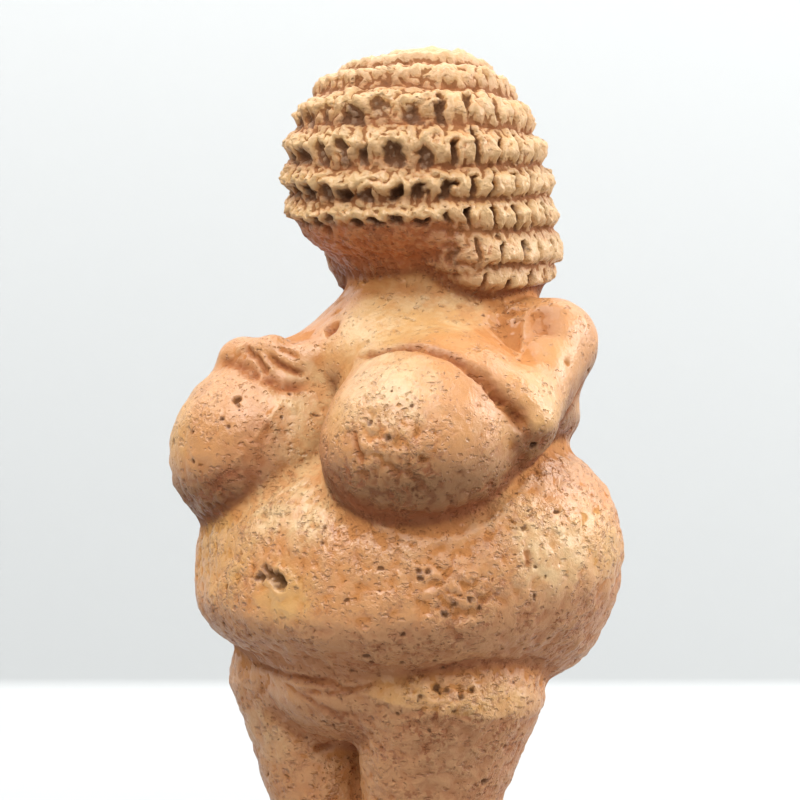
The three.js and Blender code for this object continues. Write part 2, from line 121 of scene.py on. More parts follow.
# Lines cut or worn into the surface: points in hundredths of the height, width and depth in millimetres, and
# how dark the stain and painted shade in them is. A negative depth is a raised line.
CREASES = (
    (((12.6, -13.2, 67.9), (14.9, -12.6, 67.9), (16.7, -11.7, 67.1), (18.9, -10.6, 65.7), (20.5, -9.5, 64.0),
      (22.0, -8.3, 62.3), (22.8, -6.9, 60.6), (23.4, -6.0, 58.9), (23.2, -4.3, 57.1)), 0.75, 0.85, 1.0),
    (((18.9, -10.6, 65.7), (20.5, -9.5, 64.0), (22.0, -8.3, 62.3), (22.8, -6.9, 60.6), (23.4, -6.0, 58.9)),
     1.15, 0.8, 1.0),
    (((17.7, -11.4, 66.1), (19.6, -10.7, 64.7), (21.3, -9.1, 62.6), (22.2, -7.6, 60.9)), 0.5, 0.35, 0.7),
    (((3.9, -11.3, 66.1), (7.9, -13.3, 67.1), (10.2, -13.0, 67.9), (13.3, -12.9, 68.3), (15.3, -12.2, 68.0)),
     0.6, 0.6, 1.0),
    (((11.6, -20.1, 59.2), (12.3, -20.5, 57.5), (12.9, -20.6, 55.4)), 0.4, 0.45, 0.8),
    (((13.1, 1.2, 70.1), (15.3, 0.6, 68.5), (18.1, -0.9, 66.8)), 1.5, 0.3, 0.25),
    (((13.2, -1.7, 69.0), (15.4, -1.2, 67.6), (17.7, -1.4, 66.5), (19.3, -1.8, 65.8)), 0.5, -0.3, 0.0),
    (((15.6, 3.6, 71.6), (16.8, 1.7, 69.6), (17.9, -0.1, 67.5), (19.0, -1.6, 66.0)), 0.5, -0.35, 0.0),
    (((17.1, 3.8, 71.6), (18.7, 2.9, 69.9), (19.9, 1.6, 68.3)), 1.6, 0.45, 0.6),
    (((19.9, 8.8, 63.8), (20.9, 5.4, 61.2), (21.4, 2.1, 59.2), (24.0, -3.6, 57.9), (23.0, -3.9, 56.8)),
     0.4, 0.3, 0.35),
    (((21.9, 2.5, 66.2), (22.3, 2.9, 65.3)), 0.4, 0.3, 0.5),
    (((-11.1, -13.3, 66.9), (-10.0, -13.8, 66.3), (-8.9, -14.2, 65.6)), 0.36, 0.6, 1.0),
    (((-9.4, -13.9, 66.4), (-8.1, -14.1, 65.3), (-6.5, -14.4, 64.1)), 0.4, 0.75, 1.0),
    (((-7.5, -13.7, 66.2), (-5.8, -13.4, 65.1), (-4.0, -12.8, 64.3), (-3.1, -12.2, 64.0)), 0.4, 0.75, 1.0),
    (((-6.4, -13.0, 67.0), (-5.3, -12.6, 66.5), (-3.8, -12.3, 65.7)), 0.35, 0.4, 0.6),
    (((-8.4, -14.1, 66.2), (-7.1, -14.2, 65.2), (-5.7, -14.3, 64.2)), 0.35, -0.3, 0.0),
    (((-15.4, -13.7, 65.0), (-12.4, -14.2, 65.1), (-9.7, -14.9, 64.7), (-7.8, -15.2, 64.0),
      (-7.1, -14.8, 64.1)), 0.8, 0.55, 1.0),
    (((-7.8, -15.2, 64.0), (-5.9, -14.7, 63.4), (-4.7, -14.5, 62.8), (-3.9, -13.7, 62.6),
      (-2.4, -11.8, 62.8)), 0.9, 0.7, 1.0),
    # Painted shadow: a shallow groove with a dark band under the near breast, where it shades the belly.
    (((7.9, -19.9, 55.2), (8.0, -19.1, 52.9), (10.3, -18.4, 51.1), (13.1, -17.1, 50.2), (15.8, -15.2, 49.9),
      (18.2, -12.3, 50.1), (19.9, -8.4, 51.0), (20.5, -5.6, 52.9)), 1.5, 0.35, 1.0),
    # Painted shade: two nearly flat dark lines on the inner lower sides of the breasts.
    (((2.8, -15.2, 60.6), (4.8, -17.9, 57.6), (6.6, -19.4, 54.4), (9, -19.4, 52)), 2.2, 0.05, 0.6),
    (((-4.4, -15.6, 59.4), (-5.2, -17.8, 55.6), (-8.2, -19.6, 53)), 2.4, 0.05, 0.6),
    (((-11.4, -19.4, 51.2), (-7.9, -19.6, 53.2), (-5.4, -18.2, 53.6), (-3.9, -16.4, 56.4)), 1.2, 0.2, 0.8),
    (((-5.3, -18.6, 56.4), (-4.2, -16.9, 59.2), (-3.5, -14.7, 61.5)), 0.35, -0.35, 0.0),
    (((-7.5, -19.5, 53.7), (-5.9, -18.9, 55.7)), 0.35, -0.32, 0.0),
    (((-4.2, -16.9, 59.3), (-3.1, -16.1, 58.0)), 0.35, -0.32, 0.0),
    (((-3.1, -14.6, 61.0), (-2.4, -14.2, 60.0)), 0.35, -0.32, 0.0),
    (((-6.0, -19.0, 57.0), (-5.3, -18.6, 56.4), (-4.3, -17.7, 56.2)), 0.35, -0.32, 0.0),
    (((-2.2, -8.5, 70.0), (-1.7, -9.5, 69.1), (-2.4, -9.8, 68.4)), 0.95, 0.85, 1.0),
    (((23.6, -6.1, 46.3), (24.0, -6.2, 44.2)), 0.4, 0.4, 0.7),
    (((-9.8, -14.2, 31.7), (-4.9, -15.8, 31.5), (0.2, -16.5, 31.3), (4.1, -15.9, 31.2), (5.7, -15.3, 30.5)),
     0.5, 0.5, 0.9),
    (((-1.3, -16.5, 31.5), (2.9, -16.2, 30.8), (6.3, -15.0, 30.3), (10.0, -14.4, 31.4)), 0.4, 0.35, 0.8),
    (((0.1, -16.4, 29.9), (4.1, -15.8, 29.9), (7.5, -14.8, 30.4)), 0.4, 0.3, 0.7),
    (((-3.2, -16.1, 30.6), (1.4, -16.2, 28.9), (3.9, -14.9, 27.2), (5.1, -14.1, 26.6)), 0.45, 0.35, 0.7),
    (((2.4, -16.0, 28.4), (4.1, -15.1, 27.7), (5.7, -14.4, 27.4)), 0.4, 0.35, 0.7),
    (((10.1, -14.4, 30.7), (13.1, -13.0, 32.3), (16.4, -10.2, 33.2), (18.5, -6.0, 33.4), (18.8, 2.0, 32.5)),
     1.0, 0.4, 0.8),
    (((-3.6, -10.7, 22.0), (-2.7, -10.0, 22.4), (-1.7, -9.1, 22.7)), 0.5, 0.6, 0.9),
    (((-3.1, -19.0, 35.3), (3.7, -20.2, 36.7), (8.7, -19.2, 36.9), (12.6, -17.2, 36.8), (15.6, -14.9, 36.7)),
     0.5, -0.16, 0.0),
    (((-0.9, -12.4, 58.6), (6.0, -19.1, 56.1), (8.2, -19.6, 53.0), (10.0, -18.7, 50.2), (13.0, -17.6, 48.3),
      (16.6, -15.3, 47.3), (19.4, -12.0, 47.6), (21.0, -8.3, 49.1), (21.4, -4.6, 51.4), (21.0, -1.4, 54.2)),
     0.7, -0.3, 0.0),
    (((-2.7, -4.9, 73.1), (2.9, -4.9, 73.4), (7.2, -3.0, 73.3), (12.4, -2.4, 74.1), (13.9, 2.5, 74.4)),
     1.1, 0.25, 0.3),
    (((-2.2, -10.2, 80.2), (-0.7, -10.1, 79.7)), 0.8, 0.8, 0.9),
)
# Single pits: place in hundredths of the height, radius and depth in millimetres.
PITS = (
    ((1.8, -21.9, 42.5), 0.9, 1.4), ((0.9, -22.0, 42.9), 0.75, 1.1), ((0.0, -22.0, 43.2), 0.75, 0.9),
    ((-1.3, -22.0, 42.8), 0.6, 0.6), ((-0.8, -21.9, 43.8), 0.6, 0.6), ((-2.0, -21.9, 42.6), 0.4, 0.4),
    ((17.8, -15.4, 44.2), 0.5, 0.45), ((16.9, -15.9, 44.3), 0.4, 0.35), ((18.8, -13.8, 39.5), 0.5, 0.4),
    ((15.0, -16.1, 37.4), 0.32, 0.4), ((10.3, -15.8, 34.5), 0.35, 0.4), ((24.0, -5.2, 41.1), 0.35, 0.3),
    ((6.2, -19.5, 48.7), 0.35, 0.3), ((6.6, -20.4, 47.0), 0.3, 0.3), ((15.8, -19.4, 58.5), 0.5, 0.5),
    ((17.1, -17.0, 61.5), 0.3, 0.25), ((13.6, -19.5, 59.8), 0.4, 0.25), ((-7.9, -18.1, 61.4), 0.6, 0.6),
    ((-7.4, -18.4, 60.9), 0.35, 0.35), ((-12.6, -20.4, 57.7), 0.45, 0.4), ((-16.8, -19.3, 56.4), 0.45, 0.4),
    ((-8.7, -19.5, 59.3), 0.3, 0.3), ((-7.8, -19.5, 58.4), 0.28, 0.25), ((-3.3, -15.7, 59.5), 0.25, 0.3),
    ((-3.5, -14.2, 62.1), 0.35, 0.4), ((-12.3, -20.6, 54.4), 0.35, 0.3), ((12.4, -0.7, 69.9), 0.25, 0.3),
    ((23.2, -4.6, 57.2), 0.5, 0.5), ((19.6, -13.1, 40.6), 0.45, 0.4), ((20.7, -11.9, 41.1), 0.35, 0.3),
    ((21.1, -10.8, 40.2), 0.35, 0.3), ((15.7, -11.6, 31.2), 0.55, 0.45), ((14.5, -12.9, 30.2), 0.4, 0.35),
    ((16.5, -10.8, 30.9), 0.35, 0.35), ((17.6, -9.7, 30.2), 0.4, 0.3), ((18.2, -8.3, 30.8), 0.35, 0.3),
    ((18.0, -2.6, 23.8), 0.35, 0.35), ((16.2, -4.2, 19.9), 0.5, 0.4), ((17.2, -10.3, 28.6), 0.35, 0.25),
    ((13.0, -14.1, 34.5), 0.3, 0.3), ((7.0, -15.4, 32.9), 0.3, 0.3), ((15.7, -12.0, 34.6), 0.3, 0.3),
    ((20.1, -6.3, 35.6), 0.3, 0.3),
)
# Soft patches that are coarse, pale or washed with ochre: place and radius, in hundredths of the height. The
# pale ones are partly wear, and partly painted highlights and painted light in the shaded cleavage.
COARSE = (
    ((16.2, -19.3, 57.6), 5.5), ((16.5, -10.5, 29.5), 4.5), ((19.5, -13, 41), 4), ((-11, -15, 66), 3),
    ((14, 2, 70), 3), ((12, -5, 77), 5),
)
RUBBED_AND_HIGHLIT = (
    ((14, -17, 63), 6), ((3, -18, 50), 5), ((10, -15, 66), 4), ((9, -5, 71.5), 7), ((4, -9, 70), 6),
    ((-1, -13, 61), 6), ((-1, -14, 56.5), 6), ((-2, -18, 51), 6), ((24, -3, 45), 6), ((0, 0, 100), 9),
    ((16, -8, 24), 5), ((-10, -12, 24), 5), ((20, -9, 52), 4),
)
WASHED = (
    ((6, -9, 71), 9), ((25, 3, 45), 7), ((-17, -18, 57), 5), ((-12, -16, 44), 6), ((22, -4, 60), 6),
    ((2, -20, 40), 5), ((15, 5, 85), 7), ((0, -10, 93), 7), ((18, -6, 27), 6),
)
# How far out from the surface its folds are felt for, in hundredths of the height.
FOLD_REACHES = (1.2, 2.5, 5)
# Rounds of smoothing after which a hollow is measured, and the depth in millimetres that is full there.
HOLLOW_DEPTHS = {3: 0.05, 10: 0.12, 24: 0.25}
# Between these heights the painted shade on the undersides turns from the belly's grey rose to the breasts'
# brown.
BELLY_LEVELS = (52 * MM, 58 * MM)
# Whole numbers that scatter the places of pits and curls.
HASH_PRIMES = (73856093, 19349663, 83492791, 2654435761)
HASH_STEP = (6364136223846793005, 1442695040888963407)


class FigurineSizes(bpy.types.PropertyGroup):
    """Sizes of the casting and of the relief in its surface"""

    height: bpy.props.FloatProperty(
        name="Figure height", description="From the soles to the crown", default=110 * MM, unit="LENGTH")
    cell: bpy.props.FloatProperty(
        name="Carving cell", description="Cell of the mesh that the relief is cut in",
        default=0.27 * MM, unit="LENGTH")
    triangles: bpy.props.IntProperty(
        name="Triangles", description="Triangles of the finished surface", default=194000)
    curl_rise: bpy.props.FloatProperty(
        name="Curl rise", description="How far a row of curls stands out from the skull",
        default=1.05 * MM, unit="LENGTH")
    curl_hollow: bpy.props.FloatProperty(
        name="Curl hollow", description="How deep the hollows between two curls are",
        default=1.05 * MM, unit="LENGTH")
    lumps: bpy.props.FloatProperty(
        name="Lumps", description="Height of the hand-made unevenness", default=0.22 * MM, unit="LENGTH")
    peel: bpy.props.FloatProperty(
        name="Peel", description="Depth of the tool's streaks and small dents", default=0.18 * MM,
        unit="LENGTH")
    pit_depth: bpy.props.FloatProperty(
        name="Pit depth", description="Depth of the widest casting pits", default=0.35 * MM, unit="LENGTH")
    seed: bpy.props.IntProperty(name="Seed", description="Picks the places of pits and lumps", default=11)


def colour_value(name, description, value):
    return bpy.props.FloatVectorProperty(name=name, description=description, subtype="COLOR", default=value)


class CastingColours(bpy.types.PropertyGroup):
    """Colours of the ochre wash, its stains, its wear, and its painted highlights and painted shade"""

    ground: colour_value("Ground", "The cast body's own tan", (0.52, 0.215, 0.064))
    ochre: colour_value("Ochre", "The yellow wash", (0.58, 0.30, 0.088))
    # Cream is partly wear and partly painted highlight.
    cream: colour_value("Cream", "Rubbed high spots", (0.62, 0.40, 0.19))
    blush: colour_value("Terracotta", "The redder face and neck", (0.42, 0.132, 0.044))
    # Russet is the stain in creases and dents, and also painted shade in folds, hollows and on the
    # undersides.
    russet: colour_value("Russet", "The stain in folds", (0.24, 0.07, 0.024))
    straw: colour_value("Straw", "The hair", (0.55, 0.31, 0.108))
    # Tan is painted shade in the hair's valleys and hollows.
    tan: colour_value("Tan", "The hair's valleys", (0.24, 0.098, 0.033))
    # The next two colours are painted shade on the undersides: brown under the breasts, and grey rose under
    # the belly, greyed as by light reflected up from the floor.
    breast_shade: colour_value("Brown", "The undersides of the breasts", (0.17, 0.062, 0.024))
    belly_shade: colour_value("Grey rose", "The duller skin below the belly", (0.37, 0.165, 0.076))
    # Umber is the stain in pits and pores, and painted shade in the hair's hollows.
    umber: colour_value("Umber", "The dark stain in pits and hollows", (0.10, 0.042, 0.018))
    roughness: bpy.props.FloatProperty(
        name="Roughness", description="Of the satin wash", default=0.36, min=0, max=1, subtype="FACTOR")


class StudioSizes(bpy.types.PropertyGroup):
    """Places of the camera and the paper, and the wall's light"""

    azimuth: bpy.props.FloatProperty(
        name="Camera azimuth", description="From the figure's front towards its left",
        default=math.radians(42), subtype="ANGLE")
    elevation: bpy.props.FloatProperty(
        name="Camera elevation", description="Above the horizon", default=math.radians(3.9), subtype="ANGLE")
    distance: bpy.props.FloatProperty(
        name="Camera distance", description="From the camera to the point that it looks at",
        default=0.4, unit="LENGTH")
    look_height: bpy.props.FloatProperty(
        name="Look height", description="Height of the point that the camera looks at",
        default=72 * MM, unit="LENGTH")
    lens: bpy.props.FloatProperty(name="Lens", description="Focal length in millimetres", default=145.8)
    wall_distance: bpy.props.FloatProperty(
        name="Wall distance", description="From the figure to the wall behind it",
        default=0.219, unit="LENGTH")
    cove: bpy.props.FloatProperty(
        name="Cove", description="Radius of the bend from the floor into the wall",
        default=3.5 * MM, unit="LENGTH")
    wall_power: bpy.props.FloatProperty(
        name="Wall light", description="Watts of the light that only the wall gets", default=21.5)
    paper: bpy.props.FloatVectorProperty(
        name="Paper", description="Colour of the floor and the wall", subtype="COLOR",
        default=(0.40, 0.41, 0.41))


# Fields and patterns, on arrays of points


def smooth_step(low, high, x):
    """0 below low, 1 above high, and an eased rise between them."""
    t = np.clip((x - low) / (high - low), 0, 1)
    return t * t * (3 - 2 * t)


def smooth_min(a, b, k):
    """The smaller of two distances, with the seam between their shapes rounded over a width of k."""
    h = np.maximum(k - np.abs(a - b), 0) / k
    return np.minimum(a, b) - h * h * k / 4


def noise(points, size, seed):
    """Smooth heights, about -1 to 1, that swell and sink over lengths of size."""
    rng = np.random.default_rng(seed)
    table = rng.permutation(256)
    slopes = rng.normal(size=(256, 3))
    slopes /= np.linalg.norm(slopes, axis=1)[:, None]
    places = points / size
    cell = np.floor(places).astype(np.int64)
    part = places - cell
    ease = part ** 3 * (part * (part * 6 - 15) + 10)
    total = np.zeros(len(points))
    for corner in np.ndindex(2, 2, 2):
        i, j, k = ((cell[:, n] + corner[n]) & 255 for n in range(3))
        slope = slopes[table[(table[(table[i] + j) & 255] + k) & 255]]
        weight = np.prod(np.where(np.array(corner) == 1, ease, 1 - ease), axis=1)
        total += weight * ((part - corner) * slope).sum(1)
    return total * 1.6


def shares(numbers, count):
    """A row of numbers from 0 to 1, always the same for the same whole numbers."""
    key = 0
    for number, prime in zip(numbers, HASH_PRIMES):
        key = key ^ number * prime
    row = []
    for _ in range(count):
        key = (key * HASH_STEP[0] + HASH_STEP[1]) & 0x7FFFFFFFFFFFFFFF
        row.append(((key >> 33) & 0xFFFF) / 65536)
    return row


def pits(points, cell_size, radius, share, seed):
    """Depths, 0 to 1, of round pits scattered one to a cell. radius is (smallest, largest), and share is the
    part of the cells that have a pit, one number or one for each point."""
    places = points / cell_size
    cell = np.floor(places).astype(np.int64)
    depth = np.zeros(len(points))
    for step in np.ndindex(3, 3, 3):
        at = cell + np.array(step) - 1
        draws = shares((*at.T, seed), 5)
        centre = at + 0.15 + 0.7 * np.stack(draws[:3], axis=1)
        size = (radius[0] + (radius[1] - radius[0]) * draws[3] ** 2) / cell_size
        far = np.linalg.norm(places - centre, axis=1) / size
        here = np.clip(1 - far * far, 0, 1) * (draws[4] < share)
        depth = np.maximum(depth, here * size * cell_size / radius[1])
    return depth


def ellipsoid(p, at, radii):
    """About the distance to an ellipsoid."""
    off = p - np.array(at)
    radii = np.array(radii, float)
    near = np.linalg.norm(off / radii, axis=1)
    slope = np.maximum(np.linalg.norm(off / radii ** 2, axis=1), 1e-9)
    return near * (near - 1) / slope


def limb(p, start, end, start_radius, end_radius, deepen):
    """Distance to a round limb between two joints, deepen times as deep as wide."""
    start, along = np.array(start, float), np.array(end, float) - np.array(start, float)
    t = np.clip((p - start) @ along / (along @ along), 0, 1)
    off = p - start - t[:, None] * along
    off[:, 1] /= deepen
    return np.linalg.norm(off, axis=1) - (start_radius + (end_radius - start_radius) * t)


def body_field(p):
    """Distance to the body below the head, in hundredths of the height."""
    mirrored = np.column_stack([np.abs(p[:, 0]), p[:, 1:]])
    trunk = None
    rise = np.outer(p[:, 0], (0, 0, 1))
    frames = {"level": p, "both": mirrored, "tilted": p - SHOULDER_TILT * rise}
    for at, radii, blend, kind in TRUNK:
        d = ellipsoid(frames[kind], at, radii)
        trunk = d if trunk is None else smooth_min(trunk, d, blend)
    trunk = smooth_min(trunk, limb(p, *NECK[:-1]), NECK[-1])
    trunk = smooth_min(trunk, limb(mirrored - SHOULDER_TILT * rise, *UPPER_ARM[:-1]), UPPER_ARM[-1])
    for side, blend, line in FOREARMS:
        here = frames["tilted"] * (side, 1, 1)
        forearm = np.full(len(p), 99.0)
        for (start, first), (end, last) in zip(line, line[1:]):
            forearm = smooth_min(forearm, limb(here, start, end, first, last, 1), 1)
        trunk = smooth_min(trunk, forearm, blend)
    leg = smooth_min(limb(mirrored, *THIGH[:-1]), limb(mirrored, *CALF[:-1]), CALF[-1])
    leg = smooth_min(leg, ellipsoid(mirrored, FOOT[0], FOOT[1]), FOOT[2])
    trunk = smooth_min(trunk, leg, THIGH[-1])
    bust = mirrored - BREAST_TILT * rise
    breast = smooth_min(ellipsoid(bust, *BREAST_LOW), ellipsoid(bust, *BREAST_TOP), BREAST_TOP_BLEND)
    return smooth_min(trunk, breast, BREAST_BLEND)


def turned(vectors, degrees, axis):
    """Vectors turned about the X or Z axis."""
    c, s = math.cos(math.radians(degrees)), math.sin(math.radians(degrees))
    matrix = ((1, 0, 0), (0, c, -s), (0, s, c)) if axis == "X" else ((c, -s, 0), (s, c, 0), (0, 0, 1))
    return vectors @ np.array(matrix).T


def head_directions(p):
    """The way from the head's centre, its length, and the strand's own angles, down from its crown and round.

    The crown leans over to one side, so the angle down is found by a few rounds of turning the way back."""
    off = p - np.array(HEAD_CENTRE)
    off = off - np.outer(off[:, 2], (*HEAD_SLANT, 0))
    off = turned(turned(off, -HEAD_TURN, "Z"), -STRAND_LEAN, "X")
    far = np.maximum(np.linalg.norm(off, axis=1), 1e-9)
    way = off / far[:, None]
    side = math.radians(CROWN_SIDE)
    axis = np.array((math.cos(side), math.sin(side), 0))
    across, along = np.cross(axis, way), np.outer(way @ axis, axis)
    down = np.degrees(np.arccos(np.clip(way[:, 2], -1, 1)))
    for _ in range(5):
        lean = -np.radians(CROWN_LEAN * (1 - smooth_step(CROWN_START, CROWN_END, down)))[:, None]
        inner = way * np.cos(lean) + across * np.sin(lean) + along * (1 - np.cos(lean))
        down = np.degrees(np.arccos(np.clip(inner[:, 2], -1, 1)))
    return way, far, down, np.degrees(np.arctan2(inner[:, 0], -inner[:, 1]))


def face_share(round_):
    """1 over the face and 0 round the back, by the strand's angle round the head."""
    return 1 - smooth_step(FACE_HALF_WIDTH - FACE_EDGE, FACE_HALF_WIDTH + FACE_EDGE, np.abs(round_))


def skull_radius(way, down, round_):
    """The skull's reach each way from the head's centre. The face is cut back below the brow."""
    way = turned(way, STRAND_LEAN - SKULL_LEAN, "X")
    level = np.hypot(way[:, 0] / HEAD_RADII[0], way[:, 1] / HEAD_RADII[1]) ** SKULL_SQUARENESS
    skull = (level + np.abs(way[:, 2] / HEAD_RADII[2]) ** SKULL_SQUARENESS) ** (-1 / SKULL_SQUARENESS)
    below = smooth_step(BRIM_FRONT, BRIM_FRONT + FACE_CUT_RISE, down)
    front = face_share(round_)
    return skull * (1 - FACE_CUT * front * below + NAPE_FILL * (1 - front) * below)


def head_field(p):
    """Distance to the head without its curls, in hundredths of the height."""
    way, far, down, round_ = head_directions(p)
    return (far - skull_radius(way, down, round_)) * SKULL_EASE


def base_field(p, lift, unit):
    """Distance to the oval base, in hundredths of the height."""
    half_width, half_depth = BASE_HALF
    side = np.hypot(p[:, 0], p[:, 1] * half_width / half_depth) - half_width / unit
    height, edge = BASE_HEIGHT / unit, BASE_EDGE_RADIUS / unit
    z = p[:, 2] + lift / unit
    out = np.stack([side + edge, z - height + edge], axis=1)
    d = np.minimum(out.max(axis=1), 0) + np.linalg.norm(np.maximum(out, 0), axis=1) - edge
    return np.maximum(d, -z)


def figure_field(p, lift, unit):
    """Distance to the whole figurine's smooth masses, in hundredths of the height."""
    figure = smooth_min(body_field(p), head_field(p), HEAD_BLEND)
    return smooth_min(figure, base_field(p, lift, unit), BASE_BLEND)


def slope_of(field, p, step=0.05):
    """How steeply a field grows along X, Y and Z."""
    slopes = np.empty_like(p)
    for n in range(3):
        side = np.zeros(3)
        side[n] = step
        slopes[:, n] = (field(p + side) - field(p - side)) / (2 * step)
    return slopes


# The piece


def only(piece):
    bpy.ops.object.select_all(action="DESELECT")
    piece.select_set(True)
    bpy.context.view_layer.objects.active = piece


def apply_modifier(piece, kind, **values):
    only(piece)
    modifier = piece.modifiers.new(kind.title(), kind)
    for name, value in values.items():
        setattr(modifier, name, value)
    bpy.ops.object.modifier_apply(modifier=modifier.name)


def points_of(mesh):
    co = np.empty(len(mesh.vertices) * 3, np.float32)
    mesh.vertices.foreach_get("co", co)
    return co.reshape(-1, 3).astype(float)


def put_points(mesh, points):
    mesh.vertices.foreach_set("co", points.astype(np.float32).ravel())
    mesh.update()


def put_mask(mesh, name, values):
    attribute = mesh.attributes.new(name, "FLOAT", "POINT")
    attribute.data.foreach_set("value", values.astype(np.float32))


def scatter(row, place, seed):
    """A number from 0 to 1 that is the same all over one cell of a pattern."""
    return shares((row.astype(np.int64), place.astype(np.int64), seed), 2)[-1]


def hair_relief(p, sizes):
    """Height of the hair in millimetres over the skull, how much painted shade darkens each point in the
    hollows, gaps and feet of the rows, where hair grows, and how much painted shade falls in the valley
    between two rows.

    Down each row of curls come a lit slope, its lip, hollows that open downwards between ribs, and a valley.
    Towards the back the curls are upright lobes with narrow grooves between them."""
    seed = sizes.seed
    way, _, down, round_ = head_directions(p)

    # The strand's turns down from the crown, and the curls along it, shaken a little as by hand.
    shell = way * HEAD_MEAN
    wobble, wear = noise(shell, 3.4, seed + 1), noise(shell, 7, seed + 2)
    fine, chisel = noise(shell, 1.3, seed + 9), noise(shell, 0.75, seed + 10)
    turns = down / STRAND_PITCH - (round_ + 180) / 360 + 0.02 + 0.07 * wobble + 0.04 * fine
    row = np.floor(turns)
    across = turns - row
    start = np.radians(STRAND_PITCH * (row + (round_ + 180) / 360))
    curls = HEAD_MEAN * 2 * math.pi / math.radians(STRAND_PITCH) / CURL_WIDTH * (1 - np.cos(start))
    phase = curls + 0.2 * wobble + 0.07 * fine + 0.6 * (across - 0.5) * (scatter(row, row, seed) - 0.3)
    place = np.floor(phase)

    # Where hair grows, how far round the back a curl is, and how strongly the rows stand out and are carved.
    beside = np.abs(round_)
    back = smooth_step(54, 86, beside)
    low = smooth_step(-2, 5, down - BRIM_FRONT)
    haired = 1 - low * (1 - smooth_step(50, 96, beside))
    haired = haired * (1 - smooth_step(-3, 3, down - BRIM_BACK))
    strong, carved = smooth_step(8, 46, down), 0.1 + 0.9 * smooth_step(28, 84, down)

    def draw(low, high, salt):
        return low + (high - low) * scatter(row, place, seed + salt)

    # The hollow under each curl's lip, between two ribs.
    lip = 0.46 + draw(-0.08, 0.08, 1) * (1 - back) - 0.34 * back
    length = draw(0.38, 0.54, 2) + 0.32 * back
    middle = draw(0.42, 0.58, 4)
    half = draw(0.32, 0.5, 3) * (1 - back) + draw(0.12, 0.2, 3) * back
    off = (phase - place - middle) / half
    under = (across - lip - 0.1 * off ** 2 * (1 - back)) / length
    u = np.abs(off) * (0.85 + 0.4 * np.clip(under, 0, 1)) + 0.4 * fine + 0.26 * chisel
    gap = (1 - smooth_step(0.3, 1.1, u)) * smooth_step(-0.08, 0.18, under + 0.22 * fine + 0.14 * chisel)
    gap = gap * (1 - smooth_step(0.9, 1.3, under)) * carved * haired
    bowl = gap * (1 - smooth_step(0.35, 1.1, under + 0.16 * chisel))
    hollow = bowl * draw(0.35, 1.2, 5) * (1 - 0.3 * back) * np.clip(1 + 0.4 * wear, 0.6, 1.2)

    # The rows' own rise, with chips and strokes of the tool on it.
    fall = smooth_step(0.54 + 0.1 * back, 0.84 + 0.16 * back, across)
    slope = 0.1 + 0.9 * (smooth_step(-0.12, 0.46, across) * (1 - fall))
    curl = 1 - 2 * np.abs(phase - place - middle + 0.5 - np.round(phase - place - middle + 0.5))
    swell = (0.5 + 0.5 * strong) * (1 + 0.3 * back) * slope * (1 - 0.85 * gap) + 0.2 * back * (1 - curl)
    strokes = noise(np.column_stack([phase * 2.6 + turns, turns * 1.6, row * 7.3]), 1, seed + 15)
    chips = (np.abs(fine) - 0.3) * 0.7 + (np.abs(chisel) - 0.3) * 0.45 + strokes * 0.35
    chips = chips * (1 - 0.25 * back) * (0.5 + 0.5 * strong)
    dome = 0.3 * np.exp(-((down - 28) / 16) ** 2)
    raised = sizes.curl_rise * haired * (swell + chips + dome + 0.16 * wobble)
    height = (raised - sizes.curl_hollow * hollow) / MM
    # Painted shade in the valley below each row, and in the hair's hollows, gaps and row feet.
    valley = np.maximum((1 - slope) ** 2, 0.5 * smooth_step(0.4, 0.72, across) * (1 - 0.6 * back))
    pit = np.clip(hollow + 0.4 * gap + 0.3 * (1 - slope) ** 3, 0, 1)
    return height, pit, haired, valley * haired * (0.3 + 0.7 * strong)


def onto(field, p):
    """Points moved onto the surface where the field is zero, and the surface's normals there."""
    for _ in range(3):
        slope = slope_of(field, p)
        p = p - slope * (np.clip(field(p), -1.5, 1.5) / np.maximum((slope ** 2).sum(1), 0.2))[:, None]
    slope = slope_of(field, p)
    return p, slope / np.maximum(np.linalg.norm(slope, axis=1), 1e-9)[:, None]


def cut(mm, path, width, depth, stain_and_shade, relief, dark, ragged):
    """One line or pit, cut into relief, with its stains and painted shade put in dark. A negative depth
    raises it.
    """
    low, high = path.min(axis=0) - 4 * width, path.max(axis=0) + 4 * width
    near = np.where(((mm > low) & (mm < high)).all(axis=1))[0]
    if not len(near):
        return
    q = mm[near]
    far, along = np.linalg.norm(q - path[0], axis=1), np.zeros(len(q))
    for n, (start, end) in enumerate(zip(path, path[1:])):
        way = end - start
        t = np.clip((q - start) @ way / (way @ way), 0, 1)
        d = np.linalg.norm(q - start - t[:, None] * way, axis=1)
        closer = d < far
        far[closer], along[closer] = d[closer], (n + t[closer]) / (len(path) - 1)
    reach = far / width + 0.5 * ragged[near]
    taper = 1.0
    if len(path) > 1:
        taper = smooth_step(-0.05, 0.22, along) * smooth_step(-0.05, 0.22, 1 - along)
        taper = taper * np.clip(0.85 + 0.5 * ragged[near], 0.3, 1.2)
        groove = np.exp(-(np.maximum(reach, 0) * 1.15) ** 2)
    else:
        groove = np.clip(1 - np.maximum(reach, 0) ** 2, 0, 1)
    lip = 0.12 * np.exp(-((reach - 1.6) / 0.5) ** 2) if depth > 0 else 0
    relief[near] += depth * taper * (lip - groove)
    dark[near] = np.maximum(dark[near], stain_and_shade * taper * np.exp(-(np.maximum(reach, 0) / 1.2) ** 2))


def spots(p, patches, ragged):
    """1 inside soft patches with ragged edges, 0 outside."""
    mask = np.zeros(len(p))
    for at, radius in patches:
        far = np.linalg.norm(p - np.array(at), axis=1) / radius + 0.35 * ragged
        mask = np.maximum(mask, 1 - smooth_step(0.35, 1.15, far))
    return mask


